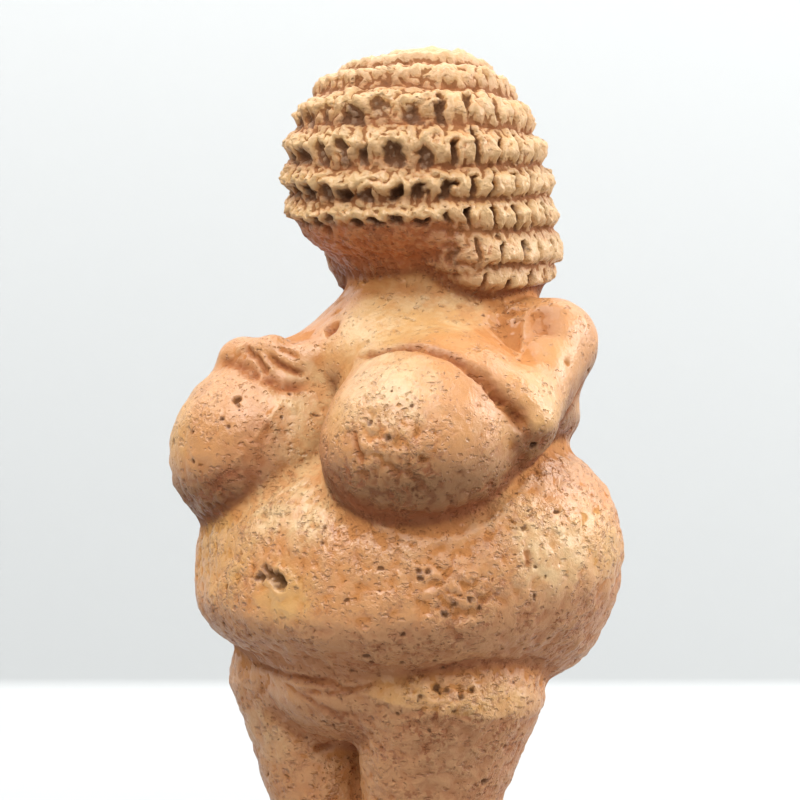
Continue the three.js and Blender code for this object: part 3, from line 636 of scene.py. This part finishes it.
def carve(piece, sizes):
    """Moves the copied solid onto its smooth masses and cuts hair, creases, pits and unevenness into it."""
    mesh = piece.data
    unit = sizes.height / MM / 100
    lift = BASE_HEIGHT - FEET_SINK
    seed = sizes.seed

    def field(q):
        return figure_field(q, lift, unit)

    p = points_of(mesh) / MM
    p[:, 2] -= lift
    p, normal = onto(field, p / unit)

    # How much of the body lies close by in front of each point, and which part of the figurine it is on.
    fold = np.zeros(len(p))
    for reach in FOLD_REACHES:
        fold += np.clip(1 - field(p + normal * reach) / reach, 0, 1) / len(FOLD_REACHES)
    on_head = smooth_step(-0.6, 1.2, body_field(p) - head_field(p))
    on_base = smooth_step(-0.4, 0.4, body_field(p) - base_field(p, lift, unit))
    hair, hollow, haired, valley = (mask * on_head for mask in hair_relief(p, sizes))
    face = on_head * (1 - haired)
    way = (p - np.array(HEAD_CENTRE)) / np.linalg.norm(p - np.array(HEAD_CENTRE), axis=1)[:, None]

    # Lumps, knobs and brush strokes, worked in millimetres.
    mm = p * unit
    swell = noise(mm, 9, seed + 3)
    lumps = swell * 0.9 + noise(mm, 4.2, seed + 4) * 0.6 + noise(mm, 2.1, seed + 5) * 0.45
    ragged = 0.7 * noise(mm, 1.1, seed + 11) + 0.6 * noise(mm, 0.55, seed + 14)
    low_body = smooth_step(68, 50, p[:, 2]) * (1 - on_base)
    coarse = spots(p, COARSE, ragged)
    skin = (1 - 0.6 * haired) * (1 - 0.85 * on_base)
    knobs = noise(mm, 1.9, seed + 8) + 0.6 * noise(mm, 1.0, seed + 12)
    brush = noise(mm * (1, 1, 0.4), 0.5, seed + 13)
    relief = sizes.lumps / MM * (lumps + (0.85 * low_body + 2.6 * coarse + 0.9 * face) * knobs) * skin
    relief += sizes.peel / MM * skin * (0.9 * brush * face - 0.6 * coarse * smooth_step(0.1, 0.6, knobs))

    # Pits of the casting, with bent outlines.
    bent = mm + 0.35 * np.column_stack([noise(mm, 0.9, seed + 20 + n) for n in range(3)])
    share = np.clip(0.1 + 0.5 * low_body * smooth_step(-0.8, 0.4, swell) + 0.3 * coarse, 0, 0.7)
    wide = pits(bent * (1, 1, 1.7), 2.0, (0.3, 0.62), share * 0.6, seed + 6)
    small = pits(bent * (1.2, 1, 1.5), 1.1, (0.22, 0.36), share, seed + 7)
    bare = (1 - 0.8 * haired) * (1 - on_base)
    pit = np.maximum(wide, small * 0.8) * bare
    relief -= sizes.pit_depth / MM * (wide + small * 0.6) * bare

    dark = np.zeros(len(p))
    for points, width, depth, stain_and_shade in CREASES:
        cut(mm, onto(field, np.array(points, float))[0] * unit, width, depth, stain_and_shade, relief, dark, ragged)
    hole = np.zeros(len(p))
    for at, radius, depth in PITS:
        cut(mm, onto(field, np.array([at], float))[0] * unit, radius, depth, 0.9, relief, hole, ragged)

    p_mm = mm + normal * relief[:, None] + way * hair[:, None]
    p_mm[:, 2] = np.maximum(p_mm[:, 2] + lift, 0)
    put_points(mesh, p_mm * MM)

    # What the material needs to know of each point, with the places of its painted shade and painted
    # highlights.
    # Painted shade: faces that point down are darkened as if in shade.
    underside_shade = smooth_step(-0.08, 0.42, -normal[:, 2] + 0.12 * swell) * (1 - haired) * (1 - on_base)
    # Pale patches: partly wear, partly painted highlights, and painted light in the shaded cleavage.
    worn_and_highlit = spots(p, RUBBED_AND_HIGHLIT, ragged)
    # Painted shade in folds, where much of the body lies close in front, strongest on the undersides.
    stain_and_shade = smooth_step(0.4, 0.9, fold + 0.12 * ragged) * (0.2 + 0.7 * underside_shade)
    stain_and_shade = stain_and_shade * (1 - haired) * (1 - 0.8 * worn_and_highlit)
    stain_and_shade = np.maximum(np.maximum(stain_and_shade, 0.75 * valley), dark)
    porous = np.clip(0.15 + share * 1.3 + 0.65 * face, 0, 1)
    masks = {
        "stain_and_shade": stain_and_shade * (1 - 0.7 * on_base),
        # Stain in the skin's pits, and painted shade in the hair's hollows.
        "pit": np.clip(np.maximum(np.maximum(pit, hole * 0.8), hollow * 0.85), 0, 1),
        "blush": face * smooth_step(73.5, 79, p[:, 2] - 0.2 * p[:, 1]),
        "pores": porous * (1 - 0.6 * haired) * (1 - on_base),
        "hair": haired,
        "underside_shade": underside_shade,
        "rubbed_and_highlit": worn_and_highlit * (1 - dark) * (1 - face),
        "washed": np.clip(spots(p, WASHED, ragged) + smooth_step(0.15, 0.7, swell) * 0.7, 0, 1),
    }
    for name, values in masks.items():
        put_mask(mesh, name, values)


def find_hollows(mesh):
    """Stores how far each point of the finished surface lies in a hollow, from 0 on a ridge to 1."""
    p = points_of(mesh) / MM
    edges = np.empty(len(mesh.edges) * 2, np.int64)
    mesh.edges.foreach_get("vertices", edges)
    a, b = edges.reshape(-1, 2).T
    count = np.maximum(np.bincount(a, minlength=len(p)) + np.bincount(b, minlength=len(p)), 1)
    normals = np.empty(len(p) * 3, np.float32)
    mesh.vertices.foreach_get("normal", normals)
    normals = normals.reshape(-1, 3).astype(float)
    smooth, depth = p.copy(), np.zeros(len(p))
    for step in range(1, max(HOLLOW_DEPTHS) + 1):
        total = np.column_stack([
            np.bincount(a, line[b], len(p)) + np.bincount(b, line[a], len(p)) for line in smooth.T])
        smooth = total / count[:, None]
        if step in HOLLOW_DEPTHS:
            depth += ((smooth - p) * normals).sum(1) / HOLLOW_DEPTHS[step] / len(HOLLOW_DEPTHS)
    put_mask(mesh, "cavity", np.clip(0.5 + 0.5 * depth, 0, 1))


class FIGURINE_OT_cast(bpy.types.Operator):
    """Make the casting's finished surface over its CAD solid"""

    bl_idname = "figurine.cast"
    bl_label = "Casting"

    def execute(self, context):
        sizes = context.scene.figurine_sizes
        piece = bpy.data.objects.new(PIECE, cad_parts[NODE].data.copy())
        context.scene.collection.objects.link(piece)
        piece.data.materials.clear()
        only(piece)
        bpy.ops.object.mode_set(mode="EDIT")
        bpy.ops.mesh.select_all(action="SELECT")
        bpy.ops.mesh.remove_doubles(threshold=1e-6)
        bpy.ops.object.mode_set(mode="OBJECT")
        cell = sizes.cell * 1
        apply_modifier(piece, "REMESH", mode="VOXEL", voxel_size=cell, use_smooth_shade=True)
        carve(piece, sizes)
        faces = len(piece.data.polygons) * 2
        if faces > sizes.triangles:
            apply_modifier(piece, "DECIMATE", ratio=sizes.triangles / faces)
        find_hollows(piece.data)
        only(piece)
        bpy.ops.object.shade_smooth()
        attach(piece, "root")
        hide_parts(NODE)
        return {"FINISHED"}


# The finish


def mixed(tree, factor, first, second):
    """A colour mixed from two, each a colour or a socket."""
    node = tree.nodes.new("ShaderNodeMix")
    node.data_type = "RGBA"
    sockets = (node.inputs[0], node.inputs[6], node.inputs[7])
    for socket, value in zip(sockets, (factor, first, second)):
        if isinstance(value, bpy.types.NodeSocket):
            tree.links.new(value, socket)
        elif socket is sockets[0]:
            socket.default_value = value
        else:
            socket.default_value = (*value, 1)
    return node.outputs[2]


def maths(tree, operation, first, second=0.0, third=0.0, clamp=False):
    """A Math node's value. Each of its three inputs is a number or a socket."""
    node = tree.nodes.new("ShaderNodeMath")
    node.operation = operation
    node.use_clamp = clamp
    for socket, value in zip(node.inputs, (first, second, third)):
        if isinstance(value, bpy.types.NodeSocket):
            tree.links.new(value, socket)
        else:
            socket.default_value = value
    return node.outputs[0]


def ranged(tree, value, low, high, to_low=0.0, to_high=1.0):
    """A value eased from one range into another."""
    node = tree.nodes.new("ShaderNodeMapRange")
    node.interpolation_type = "SMOOTHSTEP"
    tree.links.new(value, node.inputs["Value"])
    for name, number in (("From Min", low), ("From Max", high), ("To Min", to_low), ("To Max", to_high)):
        node.inputs[name].default_value = number
    return node.outputs["Result"]


def noise_node(tree, vector, scale, detail=3.0, roughness=0.55, distortion=0.0):
    """A Noise node's value, from 0 to 1. On Object coordinates, scale is in swells to a metre."""
    node = tree.nodes.new("ShaderNodeTexNoise")
    tree.links.new(vector, node.inputs["Vector"])
    node.inputs["Scale"].default_value = scale
    node.inputs["Detail"].default_value = detail
    node.inputs["Roughness"].default_value = roughness
    node.inputs["Distortion"].default_value = distortion
    return node.outputs["Fac"]


def mask_node(tree, name):
    """A mask that carve or weather stored on the mesh."""
    node = tree.nodes.new("ShaderNodeAttribute")
    node.attribute_name = name
    return node.outputs["Fac"]


def cells_node(tree, vector, scale, output="Distance"):
    """A Voronoi node's distance to the middle of its cell, or the cell's own colour."""
    node = tree.nodes.new("ShaderNodeTexVoronoi")
    tree.links.new(vector, node.inputs["Vector"])
    node.inputs["Scale"].default_value = scale
    return node.outputs[output]


def grain_group():
    """Node group: the fine grain of the cast surface, from Object coordinates. Height is in millimetres."""
    tree = bpy.data.node_groups.new("Cast grain", "ShaderNodeTree")
    tree.interface.new_socket("Vector", in_out="INPUT", socket_type="NodeSocketVector")
    for name in ("Coarseness", "Hair"):
        tree.interface.new_socket(name, in_out="INPUT", socket_type="NodeSocketFloat")
    for name in ("Height", "Pits", "Sunk"):
        tree.interface.new_socket(name, in_out="OUTPUT", socket_type="NodeSocketFloat")
    enter = tree.nodes.new("NodeGroupInput").outputs
    leave = tree.nodes.new("NodeGroupOutput")
    scaled = tree.nodes.new("ShaderNodeVectorMath")
    scaled.operation = "SCALE"
    scaled.inputs["Scale"].default_value = 1 / MM
    tree.links.new(enter["Vector"], scaled.inputs[0])
    mm = scaled.outputs[0]

    def weighted(*parts):
        total = 0.0
        for value, weight in parts:
            total = maths(tree, "MULTIPLY_ADD", value, weight, third=total)
        return total

    def holes(stretch, density, share, low, high):
        """Irregular holes, one to a cell at most: 1 deep in a hole and 0 outside. Some cells stay empty."""
        place = tree.nodes.new("ShaderNodeVectorMath")
        place.operation = "MULTIPLY"
        tree.links.new(bent, place.inputs[0])
        place.inputs[1].default_value = stretch
        picks = tree.nodes.new("ShaderNodeSeparateColor")
        tree.links.new(cells_node(tree, place.outputs[0], density, "Color"), picks.inputs[0])
        radius = maths(tree, "MULTIPLY_ADD", picks.outputs[1], high - low, third=low)
        here = maths(tree, "DIVIDE", cells_node(tree, place.outputs[0], density), radius)
        chosen = maths(tree, "LESS_THAN", picks.outputs[0], maths(tree, "MULTIPLY", coarseness, share))
        return maths(tree, "MULTIPLY", ranged(tree, here, 0.2, 1.0, 1.0, 0.0), chosen)

    # The holes' places are bent, so that their outlines are uneven, and coarseness comes and goes in patches.
    bend = tree.nodes.new("ShaderNodeTexNoise")
    tree.links.new(mm, bend.inputs["Vector"])
    bend.inputs["Scale"].default_value = 1.4
    bend.inputs["Detail"].default_value = 3
    bending = tree.nodes.new("ShaderNodeVectorMath")
    bending.operation = "MULTIPLY_ADD"
    tree.links.new(bend.outputs["Color"], bending.inputs[0])
    bending.inputs[1].default_value = (0.9, 0.9, 0.9)
    tree.links.new(mm, bending.inputs[2])
    bent = bending.outputs[0]
    patchy = ranged(tree, noise_node(tree, mm, 0.28, 2), 0.38, 0.62, 0.35, 1.5)
    coarseness = maths(tree, "MULTIPLY", enter["Coarseness"], patchy)

    dents = holes((1, 1, 1.7), 0.75, 1.2, 0.24, 0.5)
    small_dents = maths(tree, "MULTIPLY", holes((1.3, 1, 1.5), 1.25, 1.5, 0.2, 0.48), 0.6)
    dents = maths(tree, "MAXIMUM", dents, small_dents)
    pores = holes((1, 1, 1.3), 1.5, 0.5, 0.1, 0.27)
    rough = maths(tree, "MULTIPLY_ADD", coarseness, 0.28, third=0.07)
    rough = maths(tree, "MULTIPLY_ADD", enter["Hair"], 0.3, third=rough)
    rolling = noise_node(tree, mm, 1.1, 3, 0.6, 0.3)
    sunk = maths(tree, "MULTIPLY", ranged(tree, rolling, 0.5, 0.36), coarseness, clamp=True)
    height = weighted((maths(tree, "MULTIPLY", rolling, rough), 1.0),
                      (noise_node(tree, mm, 2.8, 3, 0.6), 0.06), (dents, -0.22), (pores, -0.12))
    tree.links.new(height, leave.inputs["Height"])
    tree.links.new(pores, leave.inputs["Pits"])
    tree.links.new(maths(tree, "MAXIMUM", sunk, maths(tree, "MULTIPLY", dents, 0.7)), leave.inputs["Sunk"])
    return tree


def casting_material(colours):
    """Satin ochre wash over cast stone: pale on its high spots, partly wear and partly painted highlights,
    dark in pits, red on the face and neck, with painted shade in folds, hollows and on the undersides.
    """
    material = bpy.data.materials.new("Cast stone with ochre wash")
    material.use_nodes = True
    tree = material.node_tree
    tree.nodes.clear()
    where = tree.nodes.new("ShaderNodeTexCoord").outputs["Object"]
    grain = tree.nodes.new("ShaderNodeGroup")
    grain.node_tree = grain_group()
    tree.links.new(where, grain.inputs["Vector"])
    names = ("stain_and_shade", "pit", "blush", "underside_shade", "rubbed_and_highlit", "washed", "cavity", "pores", "hair")
    stain_and_shade, pit, blush, underside_shade, rubbed_and_highlit, washed, cavity, pores, hair = (mask_node(tree, n) for n in names)
    tree.links.new(pores, grain.inputs["Coarseness"])
    tree.links.new(hair, grain.inputs["Hair"])

    def times(first, second):
        return maths(tree, "MULTIPLY", first, second)

    cloud = noise_node(tree, where, 120, 4, 0.6, 0.5)
    mottle = noise_node(tree, where, 420, 4, 0.65)
    wash = times(washed, ranged(tree, cloud, 0.3, 0.6, 0.3, 1.0))
    colour = mixed(tree, wash, colours.ground, colours.ochre)
    colour = mixed(tree, times(hair, ranged(tree, mottle, 0.35, 0.6, 0.3, 1.0)), colour, colours.straw)
    # Pale patches: partly wear, partly painted highlights on the breasts, belly and crown, and painted light
    # in the shaded cleavage.
    worn_and_highlit = maths(tree, "ADD", times(rubbed_and_highlit, 0.95), ranged(tree, cloud, 0.52, 0.7, 0.0, 0.25))
    colour = mixed(tree, times(worn_and_highlit, ranged(tree, mottle, 0.4, 0.6, 0.4, 1.0)), colour, colours.cream)
    level = tree.nodes.new("ShaderNodeSeparateXYZ")
    tree.links.new(where, level.inputs[0])
    # Painted shade on the undersides: grey rose under the belly, turning to brown under the breasts.
    under = mixed(tree, ranged(tree, level.outputs["Z"], *BELLY_LEVELS), colours.belly_shade, colours.breast_shade)
    colour = mixed(tree, times(underside_shade, 0.95), colour, under)
    colour = mixed(tree, times(blush, ranged(tree, mottle, 0.35, 0.65, 1.0, 0.7)), colour, colours.blush)
    # Cream on raised spots: wear on the skin, and a painted highlight on the hair's lit crests.
    ridge = times(ranged(tree, cavity, 0.45, 0.1), maths(tree, "MULTIPLY_ADD", hair, 0.45, third=0.15))
    colour = mixed(tree, ridge, colour, colours.cream)
    # Painted shade in hollows: russet on the skin, tan in the hair.
    hollow = mixed(tree, hair, colours.russet, colours.tan)
    deep = times(ranged(tree, cavity, 0.52, 0.82), maths(tree, "MULTIPLY_ADD", hair, 0.75, third=0.15))
    colour = mixed(tree, deep, colour, hollow)
    # Russet in dents and in the grain's low spots: a stain, made stronger on the undersides as painted shade.
    sunk = times(grain.outputs["Sunk"], maths(tree, "MULTIPLY_ADD", underside_shade, 0.3, third=0.4))
    colour = mixed(tree, sunk, colour, colours.russet)
    # Russet where the mask holds crease stains, and painted shade in folds and in the hair's valleys.
    colour = mixed(tree, times(stain_and_shade, ranged(tree, mottle, 0.3, 0.6, 0.65, 1.0)), colour, colours.russet)
    ragged = maths(tree, "MULTIPLY_ADD", noise_node(tree, where, 1600, 3, 0.6), 0.5, third=-0.25)
    # Umber: the stain in pits and pores, and painted shade in the hair's hollows.
    dark = times(ranged(tree, maths(tree, "ADD", pit, ragged), 0.18, 0.6), 0.8)
    dark = maths(tree, "MAXIMUM", dark, times(grain.outputs["Pits"], 0.65))
    colour = mixed(tree, dark, colour, colours.umber)

    bump = tree.nodes.new("ShaderNodeBump")
    bump.inputs["Strength"].default_value = 1.0
    bump.inputs["Distance"].default_value = 1 * MM
    tree.links.new(grain.outputs["Height"], bump.inputs["Height"])
    shader = tree.nodes.new("ShaderNodeBsdfPrincipled")
    tree.links.new(colour, shader.inputs["Base Color"])
    rough = ranged(tree, mottle, 0.35, 0.7, colours.roughness - 0.05, colours.roughness + 0.12)
    matt = maths(tree, "MAXIMUM", ranged(tree, cavity, 0.5, 0.8), stain_and_shade)
    rough = maths(tree, "MULTIPLY_ADD", maths(tree, "MAXIMUM", matt, dark), 0.35, third=rough)
    tree.links.new(rough, shader.inputs["Roughness"])
    sheen = maths(tree, "MULTIPLY_ADD", maths(tree, "MAXIMUM", matt, underside_shade), -0.6, third=0.8)
    tree.links.new(sheen, shader.inputs["Specular IOR Level"])
    tree.links.new(bump.outputs["Normal"], shader.inputs["Normal"])
    out = tree.nodes.new("ShaderNodeOutputMaterial")
    tree.links.new(shader.outputs["BSDF"], out.inputs["Surface"])
    return material


class FIGURINE_OT_finish(bpy.types.Operator):
    """Give the casting its satin ochre wash"""

    bl_idname = "figurine.finish"
    bl_label = "Ochre wash"

    def execute(self, context):
        bpy.data.objects[PIECE].data.materials.append(casting_material(context.scene.casting_colours))
        return {"FINISHED"}


# The studio

# Lights: name, degrees from the camera towards its right, degrees above the horizon, watts, size in metres.
LIGHTS = (
    ("key", -47, 57, 3.0, 0.4),
    ("side", 89, 28, 2.2, 0.3),
    ("low side", 90, 5, 0.45, 0.3),
    ("front", 4, 40, 1.15, 0.4),
)
LIGHT_DISTANCE = 0.5
LIT_HEIGHT = 60 * MM
ROOM_COLOUR = (0.94, 0.97, 1, 1)
ROOM_STRENGTH = 0.12
PAPER_LENGTH = 3
PAPER_RISE = 2
PAPER_ROUGHNESS = 0.9
# The strip that lights the wall: its height, how far behind the figure it hangs, and its size, in metres.
WALL_STRIP = (0.6, 0.02, (1.2, 0.2))


def paper_material(name, colour):
    material = bpy.data.materials.new(name)
    material.use_nodes = True
    shader = material.node_tree.nodes["Principled BSDF"]
    shader.inputs["Base Color"].default_value = (*colour, 1)
    shader.inputs["Roughness"].default_value = PAPER_ROUGHNESS
    return material


def area_light(name, at, target, size, power):
    data = bpy.data.lights.new(name, "AREA")
    data.shape = "RECTANGLE"
    data.size, data.size_y = size
    data.energy = power
    light = bpy.data.objects.new(name, data)
    light.location = at
    light.rotation_euler = (Vector(target) - Vector(at)).to_track_quat("-Z", "Y").to_euler()
    bpy.context.scene.collection.objects.link(light)


class FIGURINE_OT_studio(bpy.types.Operator):
    """Set up the pale floor and wall, the soft lights and the camera"""

    bl_idname = "figurine.studio"
    bl_label = "Studio"

    def execute(self, context):
        scene, studio = context.scene, context.scene.studio_sizes
        az, el = studio.azimuth, studio.elevation
        back = Vector((math.sin(az) * math.cos(el), -math.cos(az) * math.cos(el), math.sin(el)))
        right = Vector((math.cos(az), math.sin(az), 0))
        flat = Vector((back.x, back.y, 0)).normalized()
        target = Vector((0, 0, studio.look_height))

        camera = bpy.data.objects.new("camera", bpy.data.cameras.new("camera"))
        scene.collection.objects.link(camera)
        camera.location = target + back * studio.distance
        camera.rotation_euler = (-back).to_track_quat("-Z", "Y").to_euler()
        camera.data.lens = studio.lens
        camera.data.sensor_width = 36
        camera.data.clip_start = 0.01
        scene.camera = camera

        bpy.ops.object.select_all(action="DESELECT")
        bpy.ops.mesh.primitive_plane_add(size=PAPER_LENGTH)
        paper = context.object
        paper.name = "paper sweep"
        for vertex in paper.data.vertices:
            vertex.select = vertex.co.y > 0
        for edge in paper.data.edges:
            edge.select = all(paper.data.vertices[n].select for n in edge.vertices)
        for face in paper.data.polygons:
            face.select = False
        bpy.ops.object.mode_set(mode="EDIT")
        bpy.ops.mesh.extrude_edges_move(TRANSFORM_OT_translate={"value": (0, 0, PAPER_RISE)})
        bpy.ops.object.mode_set(mode="OBJECT")
        apply_modifier(paper, "BEVEL", width=studio.cove, segments=8)
        bpy.ops.object.shade_smooth()
        paper.location = flat * (PAPER_LENGTH / 2 - studio.wall_distance)
        paper.rotation_euler = (0, 0, az)
        bpy.ops.object.transform_apply(location=True, rotation=True, scale=True)
        paper.data.materials.append(paper_material("Pale paper", studio.paper))

        world = bpy.data.worlds.new("Soft room")
        world.use_nodes = True
        world.node_tree.nodes["Background"].inputs["Color"].default_value = ROOM_COLOUR
        world.node_tree.nodes["Background"].inputs["Strength"].default_value = ROOM_STRENGTH
        scene.world = world
        chest = Vector((0, 0, LIT_HEIGHT))
        for name, azimuth, elevation, power, size in LIGHTS:
            azimuth, elevation = math.radians(azimuth), math.radians(elevation)
            heading = (flat * math.cos(azimuth) + right * math.sin(azimuth)) * math.cos(elevation)
            at = chest + (heading + Vector((0, 0, math.sin(elevation)))) * LIGHT_DISTANCE
            area_light(name, at, chest, (size, size), power)
        strip_height, behind, strip_size = WALL_STRIP
        above = Vector((0, 0, strip_height)) - flat * behind
        area_light("wall", above, above - flat, strip_size, studio.wall_power)
        scene.view_settings.view_transform = "Standard"
        return {"FINISHED"}


class FIGURINE_PT_panel(bpy.types.Panel):
    """The figurine's steps, in the 3D view's sidebar"""

    bl_label = "Venus figurine"
    bl_space_type = "VIEW_3D"
    bl_region_type = "UI"
    bl_category = "Figurine"

    def draw(self, context):
        for group in GROUPS:
            values = getattr(context.scene, group)
            box = self.layout.box()
            for name in values.__annotations__:
                box.prop(values, name)
        for step in STEPS:
            self.layout.operator(step.bl_idname)


STEPS = (FIGURINE_OT_cast, FIGURINE_OT_finish, FIGURINE_OT_studio)
GROUPS = {
    "figurine_sizes": FigurineSizes,
    "casting_colours": CastingColours,
    "studio_sizes": StudioSizes,
}


def register():
    for cls in (*GROUPS.values(), *STEPS, FIGURINE_PT_panel):
        bpy.utils.register_class(cls)
    for name, cls in GROUPS.items():
        setattr(bpy.types.Scene, name, bpy.props.PointerProperty(type=cls))


def unregister():
    for name in GROUPS:
        delattr(bpy.types.Scene, name)
    for cls in (FIGURINE_PT_panel, *STEPS, *GROUPS.values()):
        bpy.utils.unregister_class(cls)


def main():
    register()
    bpy.ops.figurine.cast()
    bpy.ops.figurine.finish()
    bpy.ops.figurine.studio()


if __name__ == "__main__":
    main()
